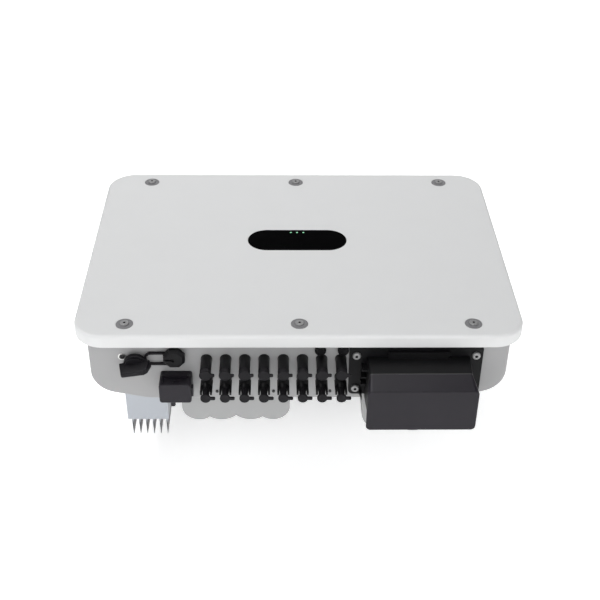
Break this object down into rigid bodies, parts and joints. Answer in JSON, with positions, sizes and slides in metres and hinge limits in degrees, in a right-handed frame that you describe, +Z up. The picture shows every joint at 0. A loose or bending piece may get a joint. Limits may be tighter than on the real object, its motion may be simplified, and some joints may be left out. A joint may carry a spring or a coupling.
{
  "type": "string inverter",
  "caption": "Wall-hung string inverter: shallow rounded cover, cast tub, finned heat sink, underside DC sockets, rotary DC switch and AC connection box.",
  "frame": {"origin": "centre of the wall bracket's four fixing holes, on the wall plane", "axes": "+X to the right seen from the front, +Y into the wall, +Z up"},
  "size_m": [0.64, 0.2726, 0.53],
  "materials": {
    "cover_paint": "fine satin powder coat, pale grey",
    "casing_paint": "fine satin powder coat, light grey",
    "bare_aluminium": "bare extruded aluminium",
    "cast_aluminium": "painted die casting, light grey",
    "bracket_steel": "zinc-plated pressed steel",
    "black_window": "polished black pane",
    "indicator_green": "clear light guides, lit green",
    "black_plastic": "moulded black plastic, fine grain",
    "black_rubber": "moulded black rubber",
    "seal_rubber": "dark grey foamed seal",
    "washer_grey": "dark grey sealing washer",
    "screw_steel": "stainless steel",
    "dark_screw": "blackened steel",
    "terminal_grey": "grey moulded terminal block",
    "brass": "plated brass clamp screws",
    "circuit_green": "green circuit board",
    "iron_core": "potted iron cores",
    "can_black": "sleeved capacitor cans",
    "module_plastic": "moulded power module"
  },
  "bodies": {
    "inverter": {"cover_gasket": "seal_rubber", "rear_casing": "casing_paint", "heat_sink": "bare_aluminium", "side_heat_sink": "bare_aluminium", "dc_inductor_housing": "cast_aluminium", "ac_inductor_housing": "cast_aluminium", "potted_inductors": "iron_core", "wall_bracket": "bracket_steel", "hanging_lugs": "bare_aluminium", "side_screws": "screw_steel", "dc_sockets_front": "black_plastic", "dc_sockets_rear": "black_plastic", "dc_socket_nuts": "black_plastic", "dc_switch_body": "black_plastic", "dc_switch_bezel": "black_plastic", "data_port": "black_plastic", "cap_strap": "black_rubber", "signal_socket": "black_plastic", "ac_base": "black_plastic", "ac_gasket": "seal_rubber", "ac_flange_screws": "screw_steel", "ac_terminals": "terminal_grey", "terminal_screws": "brass", "cable_bushing": "black_rubber", "vent_valves": "black_plastic", "underside_screws": "dark_screw", "power_board": "circuit_green", "power_modules": "module_plastic", "bus_capacitors": "can_black", "control_board": "circuit_green", "output_filter": "iron_core", "fan_frame": "black_plastic"},
    "cover": {"front_cover": "cover_paint", "indicator_window": "black_window", "light_guides": "indicator_green", "indicator_board": "circuit_green", "cover_screws": "screw_steel", "cover_washers": "washer_grey"},
    "switch_knob": {"dc_switch_knob": "black_plastic"},
    "data_cap": {"data_port_cap": "black_plastic"},
    "signal_connector": {"signal_plug": "black_plastic", "signal_plug_screws": "dark_screw"},
    "ac_lid": {"ac_cover": "black_plastic"},
    "fan": {"fan_rotor": "black_plastic"},
    "front_dust_plug_1": {"plug_front_1": "black_rubber"},
    "rear_dust_plug_1": {"plug_rear_1": "black_rubber"},
    "front_dust_plug_2": {"plug_front_2": "black_rubber"},
    "rear_dust_plug_2": {"plug_rear_2": "black_rubber"},
    "front_dust_plug_3": {"plug_front_3": "black_rubber"},
    "rear_dust_plug_3": {"plug_rear_3": "black_rubber"},
    "front_dust_plug_4": {"plug_front_4": "black_rubber"},
    "rear_dust_plug_4": {"plug_rear_4": "black_rubber"},
    "front_dust_plug_5": {"plug_front_5": "black_rubber"},
    "rear_dust_plug_5": {"plug_rear_5": "black_rubber"},
    "front_dust_plug_6": {"plug_front_6": "black_rubber"},
    "rear_dust_plug_6": {"plug_rear_6": "black_rubber"},
    "front_dust_plug_7": {"plug_front_7": "black_rubber"},
    "rear_dust_plug_7": {"plug_rear_7": "black_rubber"},
    "front_dust_plug_8": {"plug_front_8": "black_rubber"},
    "rear_dust_plug_8": {"plug_rear_8": "black_rubber"}
  },
  "joints": [
    {"name": "ac_cover_slide", "type": "slide", "parent": "inverter", "child": "ac_lid", "axis": [0, 0, -1], "range_m": [0, 0.08]},
    {"name": "cover_lift", "type": "slide", "parent": "inverter", "child": "cover", "axis": [0, -1, 0], "range_m": [0, 0.12]},
    {"name": "data_cap_turn", "type": "hinge", "parent": "inverter", "child": "data_cap", "pos_m": [-0.177, -0.2318, -0.3], "axis": [0, 0, 1], "range_deg": [0, 90]},
    {"name": "dc_switch_turn", "type": "hinge", "parent": "inverter", "child": "switch_knob", "pos_m": [-0.232, -0.2215, -0.3], "axis": [0, 0, 1], "range_deg": [0, 90]},
    {"name": "fan_spin", "type": "hinge", "parent": "inverter", "child": "fan", "pos_m": [-0.19, -0.193, 0.05], "axis": [0, 1, 0], "continuous": true},
    {"name": "signal_plug_pull", "type": "slide", "parent": "inverter", "child": "signal_connector", "axis": [0, 0, -1], "range_m": [0, 0.05]},
    {"name": "unplug_front_1", "type": "slide", "parent": "inverter", "child": "front_dust_plug_1", "axis": [0, 0, -1], "range_m": [0, 0.035]},
    {"name": "unplug_front_2", "type": "slide", "parent": "inverter", "child": "front_dust_plug_2", "axis": [0, 0, -1], "range_m": [0, 0.035]},
    {"name": "unplug_front_3", "type": "slide", "parent": "inverter", "child": "front_dust_plug_3", "axis": [0, 0, -1], "range_m": [0, 0.035]},
    {"name": "unplug_front_4", "type": "slide", "parent": "inverter", "child": "front_dust_plug_4", "axis": [0, 0, -1], "range_m": [0, 0.035]},
    {"name": "unplug_front_5", "type": "slide", "parent": "inverter", "child": "front_dust_plug_5", "axis": [0, 0, -1], "range_m": [0, 0.035]},
    {"name": "unplug_front_6", "type": "slide", "parent": "inverter", "child": "front_dust_plug_6", "axis": [0, 0, -1], "range_m": [0, 0.035]},
    {"name": "unplug_front_7", "type": "slide", "parent": "inverter", "child": "front_dust_plug_7", "axis": [0, 0, -1], "range_m": [0, 0.035]},
    {"name": "unplug_front_8", "type": "slide", "parent": "inverter", "child": "front_dust_plug_8", "axis": [0, 0, -1], "range_m": [0, 0.035]},
    {"name": "unplug_rear_1", "type": "slide", "parent": "inverter", "child": "rear_dust_plug_1", "axis": [0, 0, -1], "range_m": [0, 0.035]},
    {"name": "unplug_rear_2", "type": "slide", "parent": "inverter", "child": "rear_dust_plug_2", "axis": [0, 0, -1], "range_m": [0, 0.035]},
    {"name": "unplug_rear_3", "type": "slide", "parent": "inverter", "child": "rear_dust_plug_3", "axis": [0, 0, -1], "range_m": [0, 0.035]},
    {"name": "unplug_rear_4", "type": "slide", "parent": "inverter", "child": "rear_dust_plug_4", "axis": [0, 0, -1], "range_m": [0, 0.035]},
    {"name": "unplug_rear_5", "type": "slide", "parent": "inverter", "child": "rear_dust_plug_5", "axis": [0, 0, -1], "range_m": [0, 0.035]},
    {"name": "unplug_rear_6", "type": "slide", "parent": "inverter", "child": "rear_dust_plug_6", "axis": [0, 0, -1], "range_m": [0, 0.035]},
    {"name": "unplug_rear_7", "type": "slide", "parent": "inverter", "child": "rear_dust_plug_7", "axis": [0, 0, -1], "range_m": [0, 0.035]},
    {"name": "unplug_rear_8", "type": "slide", "parent": "inverter", "child": "rear_dust_plug_8", "axis": [0, 0, -1], "range_m": [0, 0.035]}
  ]
}
